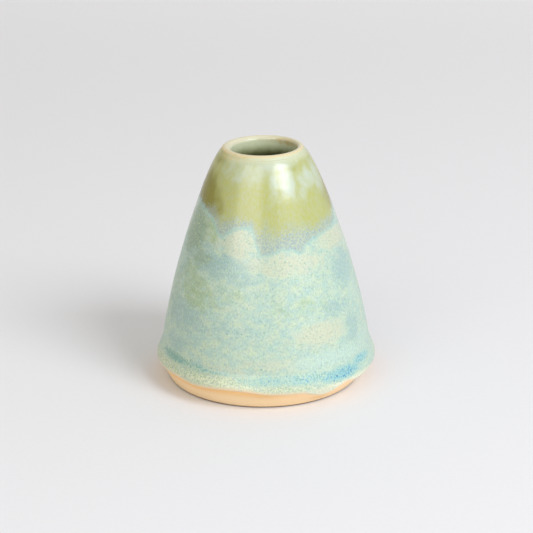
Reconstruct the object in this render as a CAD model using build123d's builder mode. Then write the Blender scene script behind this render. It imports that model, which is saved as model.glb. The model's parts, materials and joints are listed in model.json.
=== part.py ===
from build123d import *

import os
from math import cos, radians, sin

# Conical bud vase: a wheel-thrown stoneware body with three glaze coats, each its own solid.
#
# The frame is the vase's own: millimetres, +Z up, origin at the centre of the foot's resting plane.
# Angles round the vase are in degrees, 0 at the front (-Y) and growing towards +X.

os.makedirs("parts", exist_ok=True)

# ---- Driving dimensions --------------------------------------------------------------------
HEIGHT = 90.0  # foot to the top of the glazed lip
COAT = 0.45  # glaze on the clay, outside and inside
SECOND_COAT = 0.25  # the second dip, over the shoulder

FOOT_RADIUS = 35.9  # where the turned foot meets the table
FOOT_ROUND = 0.7  # softened bottom edge
RECESS_RADIUS = 27.5  # shallow turned recess under the foot
RECESS_DEPTH = 1.2
RECESS_SLOPE = 1.6  # the recess's wall leans by this much

BEAD_CORNER = (41.8, 8.15)  # radius and height where the foot's bevel meets the bead's top slope
BEAD_ROUND = 3.0
GROOVE_CORNER = (39.3, 14.3)  # the soft groove above the bead
GROOVE_ROUND = 3.0
WALL_START = (38.75, 17.5)

LIP_RADIUS = 13.9  # radius of the lip's crest
MOUTH_RADIUS = 12.4  # clear radius of the glazed throat
THROAT_BOTTOM = 86.0  # the throat is a straight cylinder down to here
FLOOR_TOP = 6.4  # top of the clay floor
FLOOR_ROUND = 6.5  # inside corner between floor and wall

LIP_CREST = HEIGHT - COAT
LIP_ROUND = LIP_RADIUS - MOUTH_RADIUS - COAT
LIP_CENTRE = (LIP_RADIUS, LIP_CREST - LIP_ROUND)
LIP_TURN = 34  # degrees above level at which the lip's round runs into the shoulder

# Outside of the clay above the groove: radius and height, from the bottom up.
OUTER_WALL = [(37.3, 25.0), (35.75, 32.0), (31.45, 48.0), (26.2, 64.0), (20.35, 79.0)]
# Inside of the clay below the throat, from the top down.
INNER_WALL = [(16.6, 79.0), (22.7, 64.0), (28.0, 48.0), (32.2, 32.0)]
INNER_WALL_END = (34.6, 19.0)
INNER_CORNER = (36.2, FLOOR_TOP)

# Lower edge of the outside glaze on the foot's bevel: angle and height.
FOOT_GLAZE_LINE = [
    (0, 7.5), (16, 7.2), (25, 5.6), (35, 3.1), (46, 6.1), (60, 4.0), (80, 6.6), (105, 8.2),
    (130, 7.0), (150, 4.6), (172, 7.4), (200, 8.6), (225, 6.2), (245, 5.0), (268, 7.6),
    (295, 8.8), (312, 8.2), (326, 7.3), (345, 8.0),
]
# Lower edge of the second dip on the shoulder: angle and height.
DIP_LINE = [
    (0, 56.2), (14, 58.2), (27, 56.2), (37, 60.0), (52, 62.2), (72, 63.8), (90, 68.0),
    (110, 69.5), (128, 64.0), (145, 58.5), (160, 61.5), (176, 66.5), (195, 63.0), (208, 57.0),
    (222, 59.0), (240, 66.5), (262, 71.0), (288, 70.8), (308, 68.8), (326, 61.2), (339, 66.0),
    (349, 65.2),
]
BAND_INSIDE = 0.8  # a cutting band runs from this share of the wall's radius
BAND_OUTSIDE = 1.2  # to this one
SPLINE_SAMPLES = 12  # points that carry a shifted spline


def cutting_band(points, radius):
    """A ruled band that crosses the wall along a smooth closed line of (angle, height) points."""
    edges = [
        Edge.make_spline(
            [
                Vector(share * radius * sin(radians(a)), -share * radius * cos(radians(a)), z)
                for a, z in points
            ],
            periodic=True,
        )
        for share in (BAND_INSIDE, BAND_OUTSIDE)
    ]
    return Face.make_surface_from_curves(*edges)


def shifted(edge, distance):
    """Draws the edge again, moved to its right by a distance, in the open BuildLine."""
    if distance == 0:
        return add(edge)
    count = 3 if edge.geom_type == GeomType.CIRCLE else SPLINE_SAMPLES
    points = []
    for i in range(count):
        along = edge % (i / (count - 1))
        points.append(edge @ (i / (count - 1)) + Vector(along.Y, -along.X) * distance)
    if edge.geom_type == GeomType.LINE:
        return Line(points[0], points[-1])
    if edge.geom_type == GeomType.CIRCLE:
        return ThreePointArc(*points)
    return Spline(points, tangents=[edge % 0, edge % 1])


def skin(edges, near, far):
    """The section of a layer between two distances to the right of a run of edges."""
    with BuildSketch(Plane.XZ) as layer:
        with BuildLine():
            for edge in edges:
                shifted(edge, near)
                shifted(edge, far)
            for edge, end in ((edges[0], 0), (edges[-1], 1)):
                along = edge % end
                outward = Vector(along.Y, -along.X)
                Line(edge @ end + outward * near, edge @ end + outward * far)
        make_face()
    return layer.sketch


# ---- The lines of the section: radius along X, height along Y --------------------------------
with BuildLine() as foot_line:
    underside = Polyline(
        (0, RECESS_DEPTH),
        (RECESS_RADIUS, RECESS_DEPTH),
        (RECESS_RADIUS + RECESS_SLOPE, 0),
        (FOOT_RADIUS - 2 * FOOT_ROUND, 0),
    )
    foot = FilletPolyline(
        underside @ 1,
        (FOOT_RADIUS, 0),
        BEAD_CORNER,
        GROOVE_CORNER,
        WALL_START,
        radius=[FOOT_ROUND, BEAD_ROUND, GROOVE_ROUND],
    )

with BuildLine() as shoulder_line:
    lip_turn = radians(LIP_TURN)
    lip_outside = CenterArc(LIP_CENTRE, LIP_ROUND, LIP_TURN, 90 - LIP_TURN, mode=Mode.PRIVATE)
    wall = Spline(
        [foot @ 1, *OUTER_WALL, lip_outside @ 0],
        tangents=[foot % 1, (-sin(lip_turn), cos(lip_turn))],
    )

with BuildLine() as inside_line:
    lip_inside = CenterArc(LIP_CENTRE, LIP_ROUND, 90, 90)
    throat = Line(lip_inside @ 1, (LIP_RADIUS - LIP_ROUND, THROAT_BOTTOM))
    inner_wall = Spline(
        [throat @ 1, *INNER_WALL, INNER_WALL_END],
        tangents=[throat % 1, Vector(*INNER_CORNER) - Vector(*INNER_WALL_END)],
    )
    floor = FilletPolyline(inner_wall @ 1, INNER_CORNER, (0, FLOOR_TOP), radius=FLOOR_ROUND)

glazed_outside = [*foot.edges()[2:], wall, lip_outside]
glazed_inside = [lip_inside, throat, inner_wall, *floor.edges()]

# ---- clay_body: the thrown and turned stoneware --------------------------------------------
with BuildPart() as clay_body:
    with BuildSketch(Plane.XZ):
        with BuildLine():
            add([*underside.edges(), *foot.edges(), wall, lip_outside])
            add([lip_inside, throat, inner_wall, *floor.edges()])
            Line((0, FLOOR_TOP), (0, RECESS_DEPTH))
        make_face()
    revolve(axis=Axis.Z)

# ---- liner_glaze: poured inside, up to the lip's crest ---------------------------------------
with BuildPart() as liner_glaze:
    add(skin(glazed_inside, 0, COAT))
    revolve(axis=Axis.Z)

# ---- base_glaze: the outside dip, from the lip's crest to the line on the bevel --------------
with BuildPart() as base_glaze:
    add(skin(glazed_outside, 0, COAT))
    revolve(axis=Axis.Z)
    split(bisect_by=cutting_band(FOOT_GLAZE_LINE, FOOT_RADIUS), keep=Keep.BOTTOM)

# ---- shoulder_glaze: the second dip, over the first --------------------------------------------
with BuildPart() as shoulder_glaze:
    add(skin([wall], COAT, COAT + SECOND_COAT))
    revolve(axis=Axis.Z)
    split(bisect_by=cutting_band(DIP_LINE, OUTER_WALL[3][0]), keep=Keep.BOTTOM)

# ---- Write the parts ---------------------------------------------------------------------------
for label, piece in (
    ("clay_body", clay_body),
    ("liner_glaze", liner_glaze),
    ("base_glaze", base_glaze),
    ("shoulder_glaze", shoulder_glaze),
):
    piece.part.label = label
    export_step(piece.part, f"parts/{label}.step")
    box = piece.part.bounding_box()
    print(label, "volume", round(piece.part.volume), "low", box.min, "high", box.max)
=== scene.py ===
import json
from math import cos, hypot, pi, radians, sin
from random import Random

import bpy
import numpy as np
from mathutils import Matrix, Vector, noise


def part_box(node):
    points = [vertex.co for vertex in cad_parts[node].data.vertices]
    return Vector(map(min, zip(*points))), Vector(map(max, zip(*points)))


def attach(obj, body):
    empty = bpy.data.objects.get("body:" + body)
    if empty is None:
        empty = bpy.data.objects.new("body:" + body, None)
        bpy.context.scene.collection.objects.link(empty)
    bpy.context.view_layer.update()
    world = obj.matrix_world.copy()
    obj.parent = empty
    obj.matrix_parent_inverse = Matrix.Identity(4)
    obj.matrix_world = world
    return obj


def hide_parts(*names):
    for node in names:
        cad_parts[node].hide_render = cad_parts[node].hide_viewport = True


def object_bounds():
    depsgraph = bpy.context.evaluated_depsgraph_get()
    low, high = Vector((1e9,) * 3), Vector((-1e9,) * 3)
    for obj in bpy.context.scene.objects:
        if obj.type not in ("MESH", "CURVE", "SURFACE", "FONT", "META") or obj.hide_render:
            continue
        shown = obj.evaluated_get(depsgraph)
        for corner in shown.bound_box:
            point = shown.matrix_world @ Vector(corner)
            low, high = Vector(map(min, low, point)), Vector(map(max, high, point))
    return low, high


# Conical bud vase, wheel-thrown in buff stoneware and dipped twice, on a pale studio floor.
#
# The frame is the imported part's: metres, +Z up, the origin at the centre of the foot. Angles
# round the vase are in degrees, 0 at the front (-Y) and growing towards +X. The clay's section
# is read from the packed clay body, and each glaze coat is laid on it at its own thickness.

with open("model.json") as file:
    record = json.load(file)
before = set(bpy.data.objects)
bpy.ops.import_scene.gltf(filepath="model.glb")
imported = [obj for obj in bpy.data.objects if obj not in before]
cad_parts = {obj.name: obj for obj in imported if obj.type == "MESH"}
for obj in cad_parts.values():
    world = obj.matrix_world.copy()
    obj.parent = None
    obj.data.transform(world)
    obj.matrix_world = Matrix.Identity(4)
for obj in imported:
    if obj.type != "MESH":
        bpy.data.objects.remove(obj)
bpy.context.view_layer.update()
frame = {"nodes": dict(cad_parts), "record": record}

# ---- Sizes from the frame ------------------------------------------------------------------------
MM = 0.001
mounts = {mount["name"]: mount for mount in frame["record"]["mounts"]}
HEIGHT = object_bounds()[1].z
BEAD_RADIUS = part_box("base_glaze")[1].x
COAT = BEAD_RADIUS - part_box("clay_body")[1].x
THROAT_RADIUS = mounts["mouth"]["dims"]["r_mm"] * MM + COAT  # the clay's, under the liner
CLAY_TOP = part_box("clay_body")[1].z
SECOND_COAT = 0.25 * MM  # as in the part's source

# ---- Places on the section -----------------------------------------------------------------------
BEVEL_START = 0.93  # share of the widest radius: heights on the outside are read from here up
BEAD_TOP = 17 * MM  # height where the wall leaves the bead
LIP_START = 86 * MM  # height where the wall turns into the lip

# ---- Mesh density --------------------------------------------------------------------------------
STEPS = 480  # round the vase
FINE_ROW = 0.5 * MM  # row spacing on the foot's bare clay and on the second dip
WALL_ROW = 0.9 * MM  # on the first dip's wall
LIP_ROW = 0.17 * MM  # on its lip
NECK_ROW = 0.2 * MM  # on the liner's neck
LINER_ROW = 1.4 * MM  # and on the rest of it
HIDDEN_ROW = 3 * MM  # where one piece lies under another
HIDDEN_FIRST = 5  # shown rows to one hidden row, on the first dip
HIDDEN_SECOND = 6  # and on the second
POLE_GAP = 0.3 * MM  # between the axis and the row next to it
EDGE_ROWS = [0, 0.05, 0.11, 0.18, 0.27, 0.38, 0.5, 0.65, 0.85]  # up the first dip's edge, in mm
BEAD_START = 1.1 * MM  # up the first dip, where the bead's rows follow the edge's
BEAD_ROWS = 34
FAN_STEP = 0.05  # degrees between the rays that read the clay's section
SECTION_STEP = 0.05 * MM
SMOOTHING = 9  # section steps on each side
NEAR_STEPS = 24  # steps round the vase looked at on each side for the nearest point of a line

# ---- How a hand-thrown pot strays from a true section --------------------------------------------
RING_PITCH = 5.2 * MM  # the fingers' climb in one turn of the wheel
RING_DEPTH = 0.012 * MM
WAVER = 0.10 * MM  # depth of the slow dents
WAVER_TALL = 14 * MM  # their height
WAVER_ROUND = 2.2  # radius, in cells of noise, of the ring that they are read on
RINGS_FROM = 14 * MM  # height where rings and dents begin,
FADE_IN = 12 * MM  # to be at full depth this much higher
RINGS_TO = 84 * MM  # height where they have gone,
FADE_OUT = 10 * MM  # having faded from this much lower
OVAL = 0.0016  # out of round, as a share of the radius
OVAL_TURN = 0.6  # radians
LEAN = [(0, -0.90), (5, 0.25), (9, 0.45), (30, 0.25), (60, -0.30), (90, -0.90)]  # height, x shift, mm
RIM_TILT = 0.014  # rise of the lip towards +X, as a slope
THROAT_SHIFT = 0.6 * MM  # of the opening towards +X

# ---- How the coats end ---------------------------------------------------------------------------
EDGE_ROLL = 0.5 * MM  # height in which the first dip's edge rolls out to its full thickness
EDGE_SWELL = 0.14 * MM  # extra thickness where the glaze has run down and gathered,
SWELL_UP = 1.0 * MM  # this far above the edge
SWELL_REACH = 0.9 * MM  # and this far each way
TUCK = 0.03 * MM  # a coat's very edge, inside the clay
BURIED = 0.15 * MM  # the first dip's hidden side, inside the clay
THROAT_END = 1.7 * MM  # past the crest, where the first dip ends
THROAT_THIN = 0.12 * MM  # how much thinner it is there
SECOND_TUCK = 0.04 * MM  # the second dip's edge, inside the first
SECOND_BURIED = 0.12 * MM  # its hidden side, inside the first
QUICK_SHARE = 0.2  # of the second dip's thickness, reached close to its edge; the rest builds slowly
SECOND_THINS = 86.5 * MM  # height from which the second dip thins,
SECOND_TOP = 88.8 * MM  # to nothing here
LINER_START = 0.3 * MM  # past the crest
LINER_EDGE = 0.3  # share of the liner's thickness there
NECK_LENGTH = 6 * MM

# ---- Edges of the coats: angle and height in millimetres -----------------------------------------
FOOT_GLAZE_LINE = [
    (0, 7.4), (8, 7.2), (15, 7.1), (20, 6.9), (26, 5.3), (32, 4.1), (37, 4.7), (41, 6.4), (46, 7.4),
    (52, 6.5), (58, 5.9), (70, 6.3), (80, 6.6), (105, 8.2), (130, 7.0), (150, 4.6), (172, 7.4),
    (200, 8.6), (225, 6.2), (245, 5.0), (268, 7.4), (295, 7.6), (308, 7.9), (320, 7.3), (330, 7.7),
    (340, 8.2), (350, 8.2),
]
DIP_LINE = [
    (0, 56.6), (6, 57.0), (14, 58.5), (20, 57.6), (28, 56.6), (33, 58.8), (39, 60.2), (52, 61.4),
    (65, 61.9), (72, 62.4), (90, 67.0), (110, 69.5), (128, 64.0), (145, 58.5), (160, 61.5),
    (176, 66.5), (195, 63.0), (208, 57.0), (222, 59.0), (240, 66.5), (262, 71.0), (288, 70.3),
    (308, 68.2), (315, 66.0), (321, 62.8), (326, 61.8), (331, 63.4), (338, 65.2), (346, 65.7),
    (351, 65.0), (354, 60.0), (357, 56.6),
]

# Height of the speckled halo above the second dip's edge: angle and millimetres up the wall.
HALO_HEIGHT = [
    (1, 9.8), (12, 6.0), (26, 9.6), (35, 6.2), (44, 3.7), (60, 4.0), (90, 3.0), (125, 3.5), (150, 6.0),
    (175, 3.0), (208, 6.0), (235, 3.0), (270, 2.0), (300, 2.0), (312, 4.2), (326, 6.0), (334, 4.2),
    (345, 3.0), (351, 3.4), (355, 7.0),
]

# Soft patches of tone on the front: angle, height in mm, half-width in degrees, half-height in mm,
# strength. The hidden back carries on in the same manner, with wider and fainter copies of them.
SEED = 11
BACK_WIDTH = 1.3
BACK_STRENGTH = 0.8
BACK_TURN = 20  # degrees each way by which a copy may be off
BACK_CLIMB = 2  # and millimetres up or down
PATCHES = {
    "cream": [
        (-19, 60, 13, 7.5, 0.85), (-38, 60.5, 11, 3.6, 0.7), (-50, 63, 9, 5.0, 0.6),
        (16, 53, 36, 4.6, 0.8), (64, 58.5, 24, 4.4, 1.0), (34, 27.2, 20, 4.6, 1.0),
        (8, 18, 26, 2.6, 0.6), (-22, 15, 16, 1.6, 0.7),
    ],
    "pale": [(40, 17.5, 30, 3.4, 0.9), (70, 18, 14, 5.0, 0.6), (72, 38, 10, 9.0, 0.4)],
    # Painted shade: darker green down the left side, away from the key light.
    "sage_shade": [
        (-66, 62, 18, 11.0, 1.0), (-52, 53, 14, 4.0, 0.7), (-50, 45, 16, 9.0, 0.3),
        (-74, 36, 10, 16.0, 0.4),
    ],
    "haze": [
        (-38, 52, 26, 5.0, 1.0), (-44, 56.5, 9, 2.6, 0.9), (-66, 57, 15, 8.0, 1.0),
        (-68, 47, 12, 4.0, 0.8), (-60, 20, 16, 4.0, 0.7), (-44, 33, 12, 4.0, 0.6),
        (66, 47, 16, 7.0, 1.0), (59, 26, 8, 7.0, 0.85), (46, 35, 12, 3.4, 0.8),
        (-58, 31, 24, 7.0, 0.85), (-22, 29, 22, 4.0, 0.5), (4, 44, 12, 4.0, 0.3),
        (-15, 48, 12, 3.0, 0.8),
    ],
    "lime": [
        (-57, 46, 14, 6.0, 0.6), (-48, 40, 18, 6.0, 0.75), (-24, 43, 18, 4.0, 0.4),
        (-44, 63, 10, 5.0, 0.6), (24, 38, 20, 4.0, 0.4),
    ],
    "warm": [
        (-62, 10.0, 30, 2.4, 0.9), (-28, 10.4, 28, 3.4, 1.0), (8, 8.9, 24, 2.2, 0.85),
        (46, 7.0, 30, 2.2, 0.9),
    ],
    "pool": [
        (44, 11.1, 16, 2.5, 1.0), (62, 12.9, 11, 1.7, 0.9), (22, 11.8, 18, 2.2, 0.62),
        (-2, 12.0, 18, 2.0, 0.55), (-28, 14.2, 24, 1.8, 0.45), (-58, 13.8, 14, 0.9, 0.5),
    ],
    # Pooled glaze in the groove, darkened on the left as painted shade.
    "teal": [(-58, 14.0, 15, 1.7, 1.0), (-38, 13.4, 14, 1.4, 0.5), (26, 11.8, 16, 2.0, 0.3)],
    # Painted light: paler low on the front right, where bounced light falls on the bead's underside and
    # the foot.
    "light": [(47, 5.8, 36, 3.0, 1.2), (14, 5.6, 14, 2.6, 0.6)],
    # Painted shade: darker olive down the left side, away from the key light; also a faint dark patch
    # high on the right.
    "deep": [
        (-73, 73, 28, 10.0, 1.1), (-49, 71.5, 16, 5.0, 0.65), (-68, 87, 20, 3.0, 0.5),
        (38, 85, 8, 1.8, 0.35),
    ],
    # Paler, bluer patches in the olive; the ones under the key highlight and in the left reflection band
    # also paint part of their sheen.
    "cloud": [
        (54, 80.7, 20, 4.0, 0.75), (42, 77, 10, 3.4, 0.5), (16, 86.5, 32, 2.4, 0.8),
        (73, 80, 14, 7.0, 0.7), (-12, 84, 26, 4.6, 0.6), (26, 80.5, 12, 6.0, 0.8),
        (-38, 85, 18, 4.0, 0.5), (-27, 83.5, 12, 3.6, 0.7), (11, 80, 7, 7.0, 0.6),
    ],
    "tan": [(134, 88.4, 40, 1.5, 0.55)],
}


# ---- The clay's section --------------------------------------------------------------------------
def fan(centre, start, end, reach):
    """(radius, height) points where rays in the XZ plane meet the clay: from a centre outwards,
    or, with a reach, from that far out towards the centre."""
    clay = frame["nodes"]["clay_body"]
    middle = Vector((centre[0], 0, centre[1]))
    points = []
    for angle in np.arange(start, end, FAN_STEP * np.sign(end - start)):
        ray = Vector((cos(radians(angle)), 0, sin(radians(angle))))
        if reach:
            hit, place, _, _ = clay.ray_cast(middle + ray * reach, -ray, distance=reach)
        else:
            hit, place, _, _ = clay.ray_cast(middle, ray)
        if hit:
            points.append((place.x, place.z))
    return points


def clay_section():
    """The clay's half section from under the foot, up the outside, over the lip, to the floor.
    Rays from the cavity's core see both sides of the wall, and rays round the lip's own centre
    see the lip."""
    core = (0, 0.45 * HEIGHT)
    vertices = frame["nodes"]["clay_body"].data.vertices
    lip_radius = max((v.co.z, hypot(v.co.x, v.co.y)) for v in vertices)[1]
    lip = (lip_radius, CLAY_TOP - (lip_radius - THROAT_RADIUS))
    outside = [p for p in fan(core, -89.9, 75, 2 * HEIGHT) if p[1] < lip[1]]
    over_lip = [p for p in fan(lip, -5, 185, 3 * MM) if p[1] >= lip[1]]
    inside = [p for p in fan(core, 75, -89.9, None) if p[1] < lip[1]]
    chain = [(0, outside[0][1])] + outside + over_lip + inside + [(0, inside[-1][1])]
    return rounded(np.array(chain))


def rounded(chain):
    """The chain of points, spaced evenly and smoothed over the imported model's small facets."""
    along = np.concatenate([[0], np.cumsum(np.hypot(*np.diff(chain, axis=0).T))])
    count = int(along[-1] / SECTION_STEP)
    even = np.linspace(0, along[-1], count)
    curve = np.stack([np.interp(even, along, chain[:, i]) for i in range(2)])
    window = np.hanning(2 * SMOOTHING + 3)[1:-1]
    window /= window.sum()
    mirrored = [
        np.concatenate([2 * c[0] - c[SMOOTHING:0:-1], c, 2 * c[-1] - c[-2:-SMOOTHING - 2:-1]])
        for c in curve
    ]
    return np.stack([np.convolve(c, window, "valid") for c in mirrored])


section_r, section_z = clay_section()
section_s = np.concatenate([[0], np.cumsum(np.hypot(np.diff(section_r), np.diff(section_z)))])
slope_r = np.gradient(section_r, section_s)
slope_z = np.gradient(section_z, section_s)
S_CREST = section_s[np.argmax(section_z)]
S_END = section_s[-1]
outer_half = section_s <= S_CREST
S_FOOT = section_s[outer_half][np.argmax(section_r[outer_half] > BEVEL_START * section_r.max())]


def outside_at(height):
    """Distance along the section at which the clay's outside reaches a height."""
    climb = (section_s > S_FOOT) & outer_half
    return np.interp(height, section_z[climb], section_s[climb])


def ring_line(points, angles):
    """A smooth closed line through (angle, height in mm) points, read at angles in degrees."""
    knots = np.array([p[0] for p in points], float)
    values = np.array([p[1] for p in points], float)
    knots = np.concatenate([knots - 360, knots, knots + 360])
    values = np.tile(values, 3)
    slopes = (np.roll(values, -1) - np.roll(values, 1)) / (np.roll(knots, -1) - np.roll(knots, 1))
    slopes[0] = slopes[-1] = 0
    turned = np.mod(angles, 360)
    i = np.clip(np.searchsorted(knots, turned, "right") - 1, 1, len(knots) - 3)
    width = knots[i + 1] - knots[i]
    t = (turned - knots[i]) / width
    return (
        values[i] * (1 + 2 * t) * (1 - t) ** 2
        + values[i + 1] * t ** 2 * (3 - 2 * t)
        + slopes[i] * width * t * (1 - t) ** 2
        - slopes[i + 1] * width * t ** 2 * (1 - t)
    )


# ---- Laying a surface on the section -------------------------------------------------------------
angles = np.arange(STEPS) * 360 / STEPS


def thrown(radius, height, turn, shift):
    """The places of points at a radius, height and angle, once the potter's hand is in them."""
    ring = np.sin(2 * pi * height / RING_PITCH + turn)
    fade = np.clip((height - RINGS_FROM) / FADE_IN, 0, 1) * np.clip((RINGS_TO - height) / FADE_OUT, 0, 1)
    dent = np.array(
        [
            noise.noise(Vector((WAVER_ROUND * cos(t), WAVER_ROUND * sin(t), h / WAVER_TALL)))
            for t, h in zip(turn.ravel(), height.ravel())
        ]
    ).reshape(turn.shape)
    uneven = fade * (RING_DEPTH * ring + WAVER * dent)
    radius = radius * (1 + OVAL * np.cos(2 * turn + OVAL_TURN)) + uneven
    lean = np.interp(height, [p[0] * MM for p in LEAN], [p[1] * MM for p in LEAN])
    x = radius * np.sin(turn)
    y = -radius * np.cos(turn)
    z = height + RIM_TILT * x * (height / HEIGHT) ** 2
    return np.stack([x + lean + shift, y, z], -1)


def laid(along, lift):
    """Points that lie a distance along the section and a lift off it, at each angle round the vase."""
    radius = np.interp(along, section_s, section_r) + lift * np.interp(along, section_s, slope_z)
    height = np.interp(along, section_s, section_z) - lift * np.interp(along, section_s, slope_r)
    turn = np.broadcast_to(np.radians(angles), radius.shape)
    shift = THROAT_SHIFT * smooth(along, S_CREST - 0.5 * MM, S_CREST + 2 * MM)
    return thrown(radius, height, turn, shift)


def lathe(name, along, lift, closed):
    """A solid's skin from rows of points round the vase. A closed one joins its last row to its
    first; an open one ends in a point at the axis at each end."""
    points = laid(along, lift)
    rows = len(points)
    grid = np.arange(rows * STEPS).reshape(rows, STEPS)
    if closed:
        low, high = grid, np.roll(grid, -1, axis=0)
    else:
        low, high = grid[:-1], grid[1:]
    faces = np.stack([low, np.roll(low, -1, 1), np.roll(high, -1, 1), high], -1).reshape(-1, 4)
    faces = faces.tolist()
    vertices = points.reshape(-1, 3)
    if not closed:
        for row, order in ((grid[0], 1), (grid[-1], -1)):
            pole = len(vertices)
            vertices = np.vstack([vertices, vertices[row].mean(0)])
            around = np.stack([np.full(STEPS, pole), np.roll(row, -1), row], -1)
            faces += around[:, ::order].tolist()
    mesh = bpy.data.meshes.new(name)
    mesh.from_pydata(vertices.tolist(), [], faces)
    mesh.polygons.foreach_set("use_smooth", np.ones(len(faces), bool))
    piece = bpy.data.objects.new(name, mesh)
    bpy.context.scene.collection.objects.link(piece)
    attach(piece, "root")
    return piece


def column(values):
    """Row values that are the same all the way round."""
    return np.repeat(np.asarray(values, float)[:, None], STEPS, axis=1)


def between(start, stop, step):
    """Evenly spaced distances from start up to, but not at, stop."""
    return np.linspace(start, stop, max(int(abs(stop - start) / step), 1), endpoint=False)


def smooth(value, low, high):
    """0 below low, 1 above high, and a smooth rise between."""
    t = np.clip((value - low) / (high - low), 0, 1)
    return t * t * (3 - 2 * t)


def above(line, along):
    """Signed distance over the unrolled surface from a closed line, positive above it."""
    edge = outside_at(ring_line(line, angles) * MM)
    radius = np.interp(along, section_s, section_r)
    nearest = np.full(along.shape, np.inf)
    for shift in range(-NEAR_STEPS, NEAR_STEPS + 1):
        across = radius * radians(shift * 360 / STEPS)
        climb = along - np.roll(edge, -shift)
        nearest = np.minimum(nearest, np.hypot(across, climb))
    return np.where(along >= edge, nearest, -nearest)


def clay_body():
    """The whole pot in bare clay, fine on the foot and underneath, where no glaze hides it."""
    top = outside_at(BEAD_TOP)
    rows = [between(POLE_GAP, top, FINE_ROW), between(top, S_END - POLE_GAP, HIDDEN_ROW)]
    along = column(np.concatenate(rows))
    return lathe("clay_pot", along, 0 * along, closed=False), along


def base_glaze():
    """The first dip: a rolled edge at the foot line, then over the lip and just into the throat."""
    line = outside_at(ring_line(FOOT_GLAZE_LINE, angles) * MM)[None, :]
    edge = np.array(EDGE_ROWS)[:, None] * MM + line
    start = line + BEAD_START
    top = outside_at(BEAD_TOP)
    bead = start + (top - start) * np.linspace(0, 1, BEAD_ROWS, endpoint=False)[:, None]
    wall = column(between(top, outside_at(LIP_START), WALL_ROW))
    lip = column(between(outside_at(LIP_START), S_CREST + THROAT_END, LIP_ROW))
    shown = np.concatenate([edge, bead, wall, lip])
    hidden = shown[::-1][::HIDDEN_FIRST]
    climb = shown - line
    roll = np.sqrt(1 - (1 - np.clip(climb / EDGE_ROLL, 0, 1)) ** 2)
    swell = EDGE_SWELL * np.exp(-((climb - SWELL_UP) / SWELL_REACH) ** 2)
    past = np.clip((shown - S_CREST) / THROAT_END, 0, 1)
    lift = (COAT + swell) * roll - THROAT_THIN * past ** 2
    along = np.concatenate([shown, hidden])
    lift = np.concatenate([lift, np.full(hidden.shape, -BURIED)])
    lift[0] = -TUCK
    return lathe("base_glaze_coat", along, lift, closed=True), along


def shoulder_glaze():
    """The second dip over the first, thinned to nothing at its lower edge and under the lip."""
    low = outside_at(min(p[1] for p in DIP_LINE) * MM - 1 * MM)
    top = outside_at(SECOND_TOP)
    shown = column(between(low, top, FINE_ROW))
    hidden = shown[::-1][::HIDDEN_SECOND]
    climb = above(DIP_LINE, shown)
    quick = smooth(climb, -1 * MM, 2 * MM)
    slow = smooth(climb, 0, 18 * MM)
    rise = QUICK_SHARE * quick + (1 - QUICK_SHARE) * slow
    fall = 1 - smooth(shown, outside_at(SECOND_THINS), top)
    lift = COAT - SECOND_TUCK + (SECOND_COAT + SECOND_TUCK) * np.minimum(rise, fall)
    along = np.concatenate([shown, hidden])
    lift = np.concatenate([lift, np.full(hidden.shape, COAT - SECOND_BURIED)])
    return lathe("shoulder_glaze_coat", along, lift, closed=True), along


def liner_glaze():
    """The poured liner: its hidden side up from the floor, then its shown side from lip to floor."""
    first = S_CREST + LINER_START
    last = S_END - POLE_GAP
    hidden = column(between(last, first, HIDDEN_ROW))
    neck = column(between(first, first + NECK_LENGTH, NECK_ROW))
    wall = column(between(first + NECK_LENGTH, last, LINER_ROW))
    shown = np.concatenate([neck, wall])
    lift = COAT * (LINER_EDGE + (1 - LINER_EDGE) * smooth(shown, first, first + 0.8 * MM))
    along = np.concatenate([hidden, shown])
    lift = np.concatenate([np.full(hidden.shape, -TUCK), lift])
    return lathe("liner_glaze_coat", along, lift, closed=False), along


# ---- Numbers noted at each point of a piece, for its material to read ----------------------------
def note(piece, name, values):
    """Note a number at each point. A point on the axis takes the number of the row next to it."""
    flat = np.broadcast_to(values, (len(piece.data.vertices) // STEPS, STEPS)).ravel()
    poles = len(piece.data.vertices) - len(flat)
    flat = np.concatenate([flat, flat[[0, -1]][:poles]])
    piece.data.attributes.new(name, "FLOAT", "POINT").data.foreach_set("value", flat.astype(np.float32))


def patchwork(along, patches):
    """How strongly soft-edged patches cover each point, with a wider, fainter and looser copy of
    each on the hidden side."""
    height = np.interp(along, section_s, section_z) / MM
    draw = Random(SEED)
    hidden = [
        (
            angle + 180 + draw.uniform(-BACK_TURN, BACK_TURN),
            z + draw.uniform(-BACK_CLIMB, BACK_CLIMB),
            BACK_WIDTH * wide,
            tall,
            BACK_STRENGTH * strength,
        )
        for angle, z, wide, tall, strength in patches
    ]
    cover = np.zeros(along.shape)
    for angle, z, wide, tall, strength in patches + hidden:
        turn = (angles - angle + 180) % 360 - 180
        off = (turn / wide) ** 2 + ((height - z) / tall) ** 2
        cover = np.maximum(cover, strength * np.exp(-off ** 1.5))
    return cover


def note_all(piece, along):
    """Everything the materials read: distances in millimetres from the two glaze lines and the
    lip's crest, the halo's height, the height on the vase, and the patches."""
    note(piece, "dip", above(DIP_LINE, along) / MM)
    note(piece, "climb", (along - outside_at(ring_line(DIP_LINE, angles) * MM)) / MM)
    note(piece, "halo", ring_line(HALO_HEIGHT, angles))
    note(piece, "foot", (along - outside_at(ring_line(FOOT_GLAZE_LINE, angles) * MM)) / MM)
    note(piece, "past_lip", (along - S_CREST) / MM)
    note(piece, "height", np.interp(along, section_s, section_z) / MM)
    for name, patches in PATCHES.items():
        note(piece, name, patchwork(along, patches))


# ---- Colours, as seen under white light ----------------------------------------------------------
def tone(red, green, blue):
    """A colour socket's value from the 0-255 numbers of a screen colour."""
    channels = [value / 255 for value in (red, green, blue)]
    return (*[c / 12.92 if c <= 0.04045 else ((c + 0.055) / 1.055) ** 2.4 for c in channels], 1)


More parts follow.
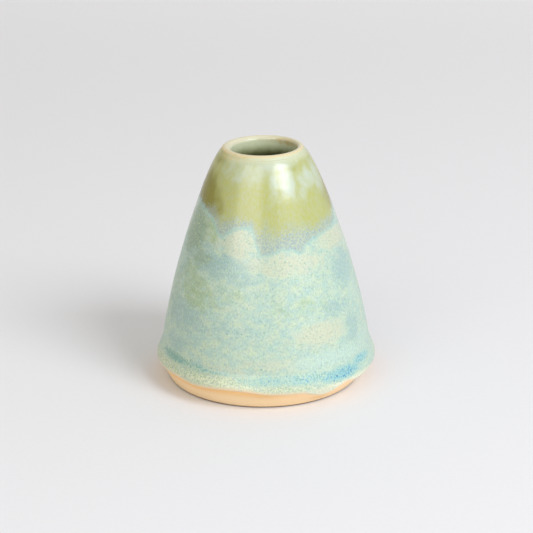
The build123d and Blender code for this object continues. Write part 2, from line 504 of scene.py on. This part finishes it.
MINT_COOL = tone(166, 193, 181)
MINT_WARM = tone(186, 201, 175)
FLECK_LIGHT = tone(202, 223, 201)
FLECK_DARK = tone(141, 163, 153)
FLECK_YELLOW = tone(188, 210, 161)
FLECK_BLUE = tone(159, 179, 185)
CREAM = tone(195, 198, 171)
HAZE = tone(153, 180, 174)
LIME = tone(160, 181, 136)
# painted shade for the left side of the body
SAGE_SHADE = tone(137, 158, 130)
PALE_MINT = tone(181, 204, 190)
WARM_DARK = tone(165, 181, 146)
WARM_LIGHT = tone(231, 226, 190)
POOL_PALE = tone(154, 194, 184)
POOL_TEAL = tone(136, 192, 190)
POOL_BLUE = tone(80, 138, 172)
# pooled glaze in the groove, darkened as painted shade
TEAL_SHADE = tone(128, 166, 150)
POOL_DOT = tone(40, 84, 130)
EDGE_CREAM = tone(238, 208, 172)
# painted bounce light on the bead's underside
EDGE_BOUNCE_LIGHT = tone(228, 230, 204)
HALO_BLUE = tone(140, 159, 165)
HALO_GREEN = tone(178, 190, 158)
# painted shade on the halo
HALO_SHADE = tone(142, 149, 126)
HALO_TURQUOISE = tone(142, 186, 180)
OLIVE = tone(172, 175, 101)
OLIVE_PALE = tone(173, 177, 126)
# painted shade on the olive
OLIVE_SHADE = tone(130, 126, 42)
# paler cloudy olive, and painted sheen round the reflections
CLOUD_AND_SHEEN = tone(185, 195, 173)
MINT_BAND = tone(197, 202, 172)
LIP_CREAM = tone(209, 205, 175)
LIP_EDGE = tone(215, 197, 152)
LIP_TAN = tone(200, 180, 120)
INSIDE_TOP = tone(203, 210, 175)
# painted shade inside the neck, darker the deeper it goes
INSIDE_SHADE = tone(138, 146, 100)
INSIDE_DEEP_SHADE = tone(78, 74, 34)
CLAY = tone(248, 217, 171)
CLAY_FLASH = tone(243, 197, 136)
CLAY_PALE = tone(245, 221, 184)
# painted bounce light on the foot
CLAY_BOUNCE_LIGHT = tone(255, 222, 176)
CLAY_SPECK = tone(190, 140, 90)
# painted contact shadow where the foot meets the floor
CLAY_CONTACT_SHADOW = tone(128, 92, 58)
FLOOR_PALE = tone(227, 227, 227)
FLOOR_DARK = tone(223, 223, 223)
GLAZE_INDEX = 1.5  # refraction
MATTE_INDEX = 1.4
SATIN = 0.38  # roughness, here and below
GLOSSY = 0.21
THIN_GLAZE = 0.5
LINER_NECK = 0.2
LINER_DEEP = 0.3
CLAY_FINE = 0.75
CLAY_COARSE = 0.9
PAPER = 0.9


# ---- Building a material from nodes --------------------------------------------------------------
class Recipe:
    """One material's nodes. A method that makes a number or a colour gives back its socket."""

    def __init__(self, name):
        self.material = bpy.data.materials.new(name)
        self.material.use_nodes = True
        self.nodes = self.material.node_tree.nodes
        self.shader = self.nodes["Principled BSDF"]
        self.place = self.nodes.new("ShaderNodeTexCoord").outputs["Object"]

    def plug(self, socket, value):
        """Feed a socket from another socket, or set it to a plain value."""
        if isinstance(value, bpy.types.NodeSocket):
            self.material.node_tree.links.new(value, socket)
        else:
            socket.default_value = value

    def noted(self, name):
        """A number noted at each point of the piece."""
        node = self.nodes.new("ShaderNodeAttribute")
        node.attribute_name = name
        return node.outputs["Fac"]

    def grain(self, width, height, detail, seed):
        """Noise about 0.5, with features of a width and height in millimetres, and finer ones
        within them for each step of detail. Each seed gives another pattern."""
        stretch = self.nodes.new("ShaderNodeMapping")
        stretch.inputs["Scale"].default_value = (1 / (width * MM), 1 / (width * MM), 1 / (height * MM))
        self.plug(stretch.inputs["Vector"], self.place)
        node = self.nodes.new("ShaderNodeTexNoise")
        node.noise_dimensions = "4D"
        self.plug(node.inputs["Vector"], stretch.outputs["Vector"])
        self.plug(node.inputs["W"], seed)
        self.plug(node.inputs["Detail"], detail)
        self.plug(node.inputs["Scale"], 1.0)
        return node.outputs["Fac"]

    def combine(self, operation, first, second):
        """The result of a math operation on two numbers."""
        node = self.nodes.new("ShaderNodeMath")
        node.operation = operation
        self.plug(node.inputs[0], first)
        self.plug(node.inputs[1], second)
        return node.outputs["Value"]

    def rise(self, value, low, high, start=0.0, end=1.0):
        """A smooth change from start to end as a value goes from low to high."""
        node = self.nodes.new("ShaderNodeMapRange")
        node.interpolation_type = "SMOOTHSTEP"
        self.plug(node.inputs["Value"], value)
        self.plug(node.inputs["From Min"], low)
        self.plug(node.inputs["From Max"], high)
        self.plug(node.inputs["To Min"], start)
        self.plug(node.inputs["To Max"], end)
        return node.outputs["Result"]

    def blend(self, amount, first, second):
        """A colour that goes from the first to the second as the amount goes from 0 to 1."""
        node = self.nodes.new("ShaderNodeMix")
        node.data_type = "RGBA"
        colours = [socket for socket in node.inputs if socket.type == "RGBA"]
        self.plug(node.inputs["Factor"], amount)
        self.plug(colours[0], first)
        self.plug(colours[1], second)
        return next(socket for socket in node.outputs if socket.type == "RGBA")

    def shaken(self, value, grain, amount):
        """A value moved up and down by grain, by up to about half the amount."""
        swing = self.combine("MULTIPLY", self.combine("SUBTRACT", grain, 0.5), amount)
        return self.combine("ADD", value, swing)

    def patch(self, colour, name, laid_over, grain, ragged):
        """A colour with another laid over it in the patches noted, their edges ragged by grain."""
        cover = self.rise(self.shaken(self.noted(name), grain, ragged), 0.1, 0.95)
        return self.blend(cover, colour, laid_over)

    def relief(self, height, depth):
        """Fine relief from a 0-1 height, with a depth in millimetres."""
        node = self.nodes.new("ShaderNodeBump")
        self.plug(node.inputs["Height"], height)
        self.plug(node.inputs["Distance"], depth * MM)
        self.plug(self.shader.inputs["Normal"], node.outputs["Normal"])

    def finish(self, colour, roughness, refraction):
        """Feed the shader, and give back the material."""
        self.plug(self.shader.inputs["Base Color"], colour)
        self.plug(self.shader.inputs["Roughness"], roughness)
        self.plug(self.shader.inputs["IOR"], refraction)
        return self.material


# ---- Glaze layers, shared by the pieces they show on ---------------------------------------------
def flecked(recipe, colour):
    """A colour broken up by fine flecks, lighter and darker, yellower and bluer, and fainter in
    the cream patches."""
    fine = recipe.grain(0.5, 0.85, 2, 1)
    tint = recipe.grain(0.6, 0.8, 2, 2)
    contrast = recipe.rise(recipe.noted("cream"), 0.1, 0.7, 0.7, 0.5)
    colour = recipe.blend(recipe.rise(fine, 0.50, 0.80, 0.0, contrast), colour, FLECK_LIGHT)
    colour = recipe.blend(recipe.rise(fine, 0.50, 0.20, 0.0, contrast), colour, FLECK_DARK)
    strength = recipe.rise(recipe.noted("cream"), 0.1, 0.7, 0.8, 0.35)
    colour = recipe.blend(recipe.rise(tint, 0.50, 0.78, 0.0, strength), colour, FLECK_YELLOW)
    return recipe.blend(recipe.rise(tint, 0.50, 0.22, 0.0, strength), colour, FLECK_BLUE)


def first_dip(recipe):
    """Turquoise: a speckled mint ground in cloudy patches, blue in the groove and cream at the edge,
    with painted shade down the left side and in the groove there, and painted light low on the front
    right.
    """
    drift = recipe.grain(3.5, 2.4, 3, 3)
    cloud = recipe.grain(4.0, 2.4, 5, 4)
    colour = recipe.blend(recipe.rise(drift, 0.36, 0.64), MINT_COOL, MINT_WARM)
    colour = recipe.patch(colour, "cream", CREAM, cloud, 1.8)
    colour = recipe.patch(colour, "haze", HAZE, cloud, 1.8)
    colour = recipe.patch(colour, "lime", LIME, cloud, 1.8)
    # painted shade down the left side
    colour = recipe.patch(colour, "sage_shade", SAGE_SHADE, cloud, 1.2)
    colour = recipe.patch(colour, "pale", PALE_MINT, cloud, 1.2)
    crumb = recipe.grain(0.75, 0.7, 2, 5)
    crumbs = recipe.blend(recipe.rise(crumb, 0.40, 0.62), WARM_DARK, WARM_LIGHT)
    colour = recipe.patch(colour, "warm", crumbs, recipe.grain(0.8, 0.6, 2, 6), 2.0)
    colour = flecked(recipe, colour)
    # painted bounce light low on the front right
    colour = recipe.patch(colour, "light", EDGE_BOUNCE_LIGHT, crumb, 1.4)
    colour = recipe.patch(colour, "pool", POOL_PALE, crumb, 1.4)
    # the groove's pool, darker on the left as painted shade
    colour = recipe.patch(colour, "teal", TEAL_SHADE, crumb, 3.4)
    ripple = recipe.grain(0.6, 0.9, 3, 7)
    depth = recipe.grain(0.5, 0.9, 2, 24)
    mottle = recipe.blend(recipe.rise(depth, 0.34, 0.66), POOL_TEAL, POOL_BLUE)
    cover = recipe.rise(recipe.shaken(recipe.noted("pool"), ripple, 3.8), 0.55, 1.3)
    colour = recipe.blend(cover, colour, mottle)
    dot = recipe.grain(0.9, 0.9, 1, 8)
    dots = recipe.rise(recipe.shaken(recipe.noted("pool"), dot, 2.4), 1.26, 1.46)
    colour = recipe.blend(dots, colour, POOL_DOT)
    edge = recipe.rise(recipe.shaken(recipe.noted("foot"), crumb, 2.0), 0.2, 1.6, 0.85, 0.0)
    return recipe.blend(edge, colour, EDGE_CREAM)


def second_dip(recipe, ground):
    """Olive over the ground, with a speckled blue halo and a turquoise rim along its lower edge."""
    fine = recipe.grain(0.5, 0.9, 2, 9)
    broad = recipe.grain(2.2, 2.2, 4, 10)
    depth = recipe.shaken(recipe.shaken(recipe.noted("dip"), broad, 2.8), fine, 2.4)
    climb = recipe.shaken(recipe.shaken(recipe.noted("climb"), broad, 4.5), fine, 4.0)
    share = recipe.shaken(recipe.combine("DIVIDE", climb, recipe.noted("halo")), fine, 1.6)
    speckle = recipe.grain(0.5, 0.8, 2, 11)
    streak = recipe.grain(0.7, 2.4, 3, 12)
    cloud = recipe.grain(3.0, 4.5, 5, 13)
    halo = recipe.blend(recipe.rise(speckle, 0.30, 0.70), HALO_BLUE, HALO_GREEN)
    olive = recipe.blend(recipe.rise(streak, 0.35, 0.65), OLIVE, OLIVE_PALE)
    # painted shade on the left, over the halo and the olive
    halo = recipe.patch(halo, "deep", HALO_SHADE, cloud, 0.7)
    olive = recipe.patch(olive, "deep", OLIVE_SHADE, cloud, 0.7)
    # paler patches, partly painted sheen round the highlight and the left reflection
    olive = recipe.patch(olive, "cloud", CLOUD_AND_SHEEN, cloud, 1.1)
    colour = recipe.blend(recipe.rise(depth, -0.6, 1.4), ground, halo)
    below = recipe.rise(depth, -0.9, 0.0)
    rim = recipe.combine("MULTIPLY", below, recipe.rise(depth, 0.0, 1.1, 0.45, 0.0))
    colour = recipe.blend(rim, colour, HALO_TURQUOISE)
    return recipe.blend(recipe.rise(share, 0.35, 1.45), colour, olive)


def lip_tones(recipe, colour):
    """Pale mint under the lip, and cream where the glaze runs thin over it."""
    wave = recipe.grain(2.5, 1.2, 3, 14)
    band = recipe.shaken(recipe.noted("past_lip"), wave, 1.6)
    edge = recipe.shaken(recipe.noted("past_lip"), wave, 0.6)
    # the mint band is held back under the painted shade on the left
    shown = recipe.rise(recipe.noted("deep"), 0.05, 0.5, 0.85, 0.2)
    colour = recipe.blend(recipe.rise(band, -4.8, -2.0, 0.0, shown), colour, MINT_BAND)
    colour = recipe.blend(recipe.rise(edge, -1.2, -0.8), colour, LIP_EDGE)
    colour = recipe.blend(recipe.rise(edge, -0.8, -0.1), colour, LIP_CREAM)
    return recipe.patch(colour, "tan", LIP_TAN, recipe.grain(2.0, 1.2, 3, 15), 1.2)


def glaze_gloss(recipe):
    """Roughness: satin over the first dip, glossy on and near the second, and satin again where
    the glaze runs thin over the lip."""
    gloss = recipe.rise(recipe.noted("dip"), -18.0, -4.0, SATIN, GLOSSY)
    return recipe.rise(recipe.noted("past_lip"), -3.2, -1.6, gloss, THIN_GLAZE)


# ---- Materials -----------------------------------------------------------------------------------
def turquoise_glaze():
    """The first dip, where it shows: from the foot line to the second dip, and over the lip."""
    recipe = Recipe("turquoise_glaze")
    colour = lip_tones(recipe, second_dip(recipe, first_dip(recipe)))
    recipe.relief(recipe.grain(0.9, 1.1, 2, 16), 0.03)
    return recipe.finish(colour, glaze_gloss(recipe), GLAZE_INDEX)


def olive_glaze():
    """The second dip over the first."""
    recipe = Recipe("olive_glaze")
    colour = lip_tones(recipe, second_dip(recipe, first_dip(recipe)))
    recipe.relief(recipe.grain(0.8, 3.0, 2, 17), 0.02)
    return recipe.finish(colour, glaze_gloss(recipe), GLAZE_INDEX)


def liner_glaze_inside():
    """Celadon, darkened to olive brown down inside the neck by painted shade."""
    recipe = Recipe("liner_glaze")
    past = recipe.shaken(recipe.noted("past_lip"), recipe.grain(2.0, 3.0, 3, 18), 2.2)
    colour = recipe.blend(recipe.rise(past, 0.8, 2.2), LIP_CREAM, INSIDE_TOP)
    colour = recipe.patch(colour, "tan", LIP_TAN, recipe.grain(2.0, 3.0, 3, 19), 1.2)
    # Painted shade: darker and browner the further down the neck.
    colour = recipe.blend(recipe.rise(past, 2.0, 7.0), colour, INSIDE_SHADE)
    colour = recipe.blend(recipe.rise(past, 4.0, 9.5), colour, INSIDE_DEEP_SHADE)
    recipe.relief(recipe.grain(1.2, 1.6, 2, 20), 0.012)
    return recipe.finish(colour, recipe.rise(past, 0.0, 10.0, LINER_NECK, LINER_DEEP), GLAZE_INDEX)


def bare_stoneware():
    """Unglazed buff clay: turning lines, specks, an orange flash along the glaze edge, painted light low
    on the front right, and a painted contact shadow along the bottom edge.
    """
    recipe = Recipe("bare_stoneware")
    line = recipe.grain(60, 0.5, 2, 21)
    speck = recipe.grain(0.5, 0.5, 1, 22)
    colour = recipe.blend(recipe.rise(line, 0.35, 0.65, 0.0, 0.35), CLAY, CLAY_PALE)
    colour = recipe.blend(recipe.rise(recipe.noted("foot"), -4.6, -0.4), colour, CLAY_FLASH)
    # painted bounce light low on the front right
    colour = recipe.patch(colour, "light", CLAY_BOUNCE_LIGHT, line, 1.0)
    colour = recipe.blend(recipe.rise(speck, 0.68, 0.78, 0.0, 0.5), colour, CLAY_SPECK)
    # Painted contact shadow: dark brown along the lowest 0.35 to 0.8 mm of the foot.
    colour = recipe.blend(recipe.rise(recipe.noted("height"), 0.35, 0.8, 0.9, 0.0), colour, CLAY_CONTACT_SHADOW)
    recipe.relief(recipe.shaken(line, speck, 0.8), 0.05)
    return recipe.finish(colour, recipe.rise(speck, 0.3, 0.7, CLAY_FINE, CLAY_COARSE), MATTE_INDEX)


def floor_paint():
    """Pale matte paper with a faint tooth."""
    recipe = Recipe("floor_paint")
    tooth = recipe.grain(1.5, 1.5, 2, 23)
    colour = recipe.blend(tooth, FLOOR_PALE, FLOOR_DARK)
    return recipe.finish(colour, PAPER, MATTE_INDEX)


# ---- Assembly ------------------------------------------------------------------------------------
for build, paint, node, slot in (
    (clay_body, bare_stoneware, "clay_body", "bare_stoneware"),
    (base_glaze, turquoise_glaze, "base_glaze", "turquoise_glaze"),
    (shoulder_glaze, olive_glaze, "shoulder_glaze", "olive_glaze"),
    (liner_glaze, liner_glaze_inside, "liner_glaze", "liner_glaze"),
):
    piece, along = build()
    note_all(piece, along)
    piece.data.materials.append(paint())
    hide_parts(node)

# ---- Studio --------------------------------------------------------------------------------------
CAMERA_PITCH = 19.8  # degrees below level
CAMERA_DISTANCE = 0.665
CAMERA_LENS = 118.4
AIM = Vector((0.55 * MM, 0, 0.4697 * HEIGHT))  # in the middle of the picture
LIGHT_DISTANCE = 2.0
PANEL = (1.46, 1.38)  # width and height of the panel on the left, and of its reflection
KEY_AIM = Vector((0.93, -0.84, 0))  # on the floor in front at the right: the key faces mostly down
BACKDROP = Vector((0.2, 1.0, 0))  # on the floor behind the vase, made paler by a light
BACKDROP_LIFT = Vector((0, 0, 0.4))  # from there up to that light
WALL_LEFT = (1.0, 0.935, 0.835, 1)  # the room's light from the left, warm
WALL_RIGHT = (0.96, 0.975, 1.05, 1)  # and from the right, cool
ROOM_STRENGTH = 0.655
FLOOR_SIZE = 8


def from_aim(azimuth, elevation, distance):
    """A place seen from the vase: azimuth from the front towards +X, elevation above level."""
    a, e = radians(azimuth), radians(elevation)
    return AIM + distance * Vector((cos(e) * sin(a), -cos(e) * cos(a), sin(e)))


def facing(place, target, roll=0):
    """A placement that looks from a place to a target, turned by a roll about that line."""
    turn = (target - place).to_track_quat("-Z", "Y").to_matrix() @ Matrix.Rotation(radians(roll), 3, "Z")
    return Matrix.Translation(place) @ turn.to_4x4()


def camera():
    """The camera, at the angle of the photograph."""
    data = bpy.data.cameras.new("camera")
    data.lens = CAMERA_LENS
    data.sensor_width = 36
    eye = bpy.data.objects.new("camera", data)
    eye.matrix_world = facing(from_aim(0, CAMERA_PITCH, CAMERA_DISTANCE), AIM)
    bpy.context.scene.collection.objects.link(eye)
    return eye


def softbox(name, place, target, size, radiance, colour, roll=0):
    """A rectangular light whose face has a given radiance, where 1 shows as white."""
    data = bpy.data.lights.new(name, "AREA")
    data.shape = "RECTANGLE"
    data.size, data.size_y = size
    data.energy = radiance * pi * size[0] * size[1]
    data.color = colour
    light = bpy.data.objects.new(name, data)
    light.matrix_world = facing(place, target, roll)
    bpy.context.scene.collection.objects.link(light)
    return light


def room():
    """Soft light from all round, warm at the left and cool at the right."""
    world = bpy.data.worlds.new("studio")
    world.use_nodes = True
    nodes = world.node_tree.nodes
    links = world.node_tree.links
    direction = nodes.new("ShaderNodeTexCoord").outputs["Generated"]
    sideways = nodes.new("ShaderNodeSeparateXYZ")
    links.new(direction, sideways.inputs["Vector"])
    share = nodes.new("ShaderNodeMapRange")
    share.inputs["From Min"].default_value = -1
    links.new(sideways.outputs["X"], share.inputs["Value"])
    wall = nodes.new("ShaderNodeMix")
    wall.data_type = "RGBA"
    left, right = [socket for socket in wall.inputs if socket.type == "RGBA"]
    left.default_value = WALL_LEFT
    right.default_value = WALL_RIGHT
    links.new(share.outputs["Result"], wall.inputs["Factor"])
    glow = next(socket for socket in wall.outputs if socket.type == "RGBA")
    links.new(glow, nodes["Background"].inputs["Color"])
    nodes["Background"].inputs["Strength"].default_value = ROOM_STRENGTH
    return world


bpy.context.scene.camera = camera()
bpy.context.scene.world = room()
bpy.context.scene.view_settings.view_transform = "Standard"

key_place = from_aim(48, 38, LIGHT_DISTANCE)
left_place = from_aim(-27, 30, LIGHT_DISTANCE)
front_place = from_aim(46, 15, LIGHT_DISTANCE)
glint_place = from_aim(-28, 30, LIGHT_DISTANCE)
softbox("key_softbox", key_place, KEY_AIM, (0.95, 0.97), radiance=9.4, colour=(0.97, 1.0, 1.07), roll=45)
softbox("left_panel", left_place, AIM, PANEL, radiance=1.0, colour=(1, 1, 1))
softbox("front_fill", front_place, AIM, (1.5, 1.5), radiance=1.1, colour=(0.97, 0.99, 1.12))
backdrop_place = BACKDROP + BACKDROP_LIFT
softbox("backdrop_light", backdrop_place, BACKDROP, (1.6, 0.2), radiance=1.05, colour=(1, 0.97, 1.0))
reflection = softbox("left_reflection", glint_place, AIM, PANEL, radiance=2.1, colour=(1, 0.99, 0.95))
reflection.visible_diffuse = False

bpy.ops.mesh.primitive_plane_add(size=FLOOR_SIZE)
floor = bpy.context.object
floor.name = "floor"
floor.data.materials.append(floor_paint())
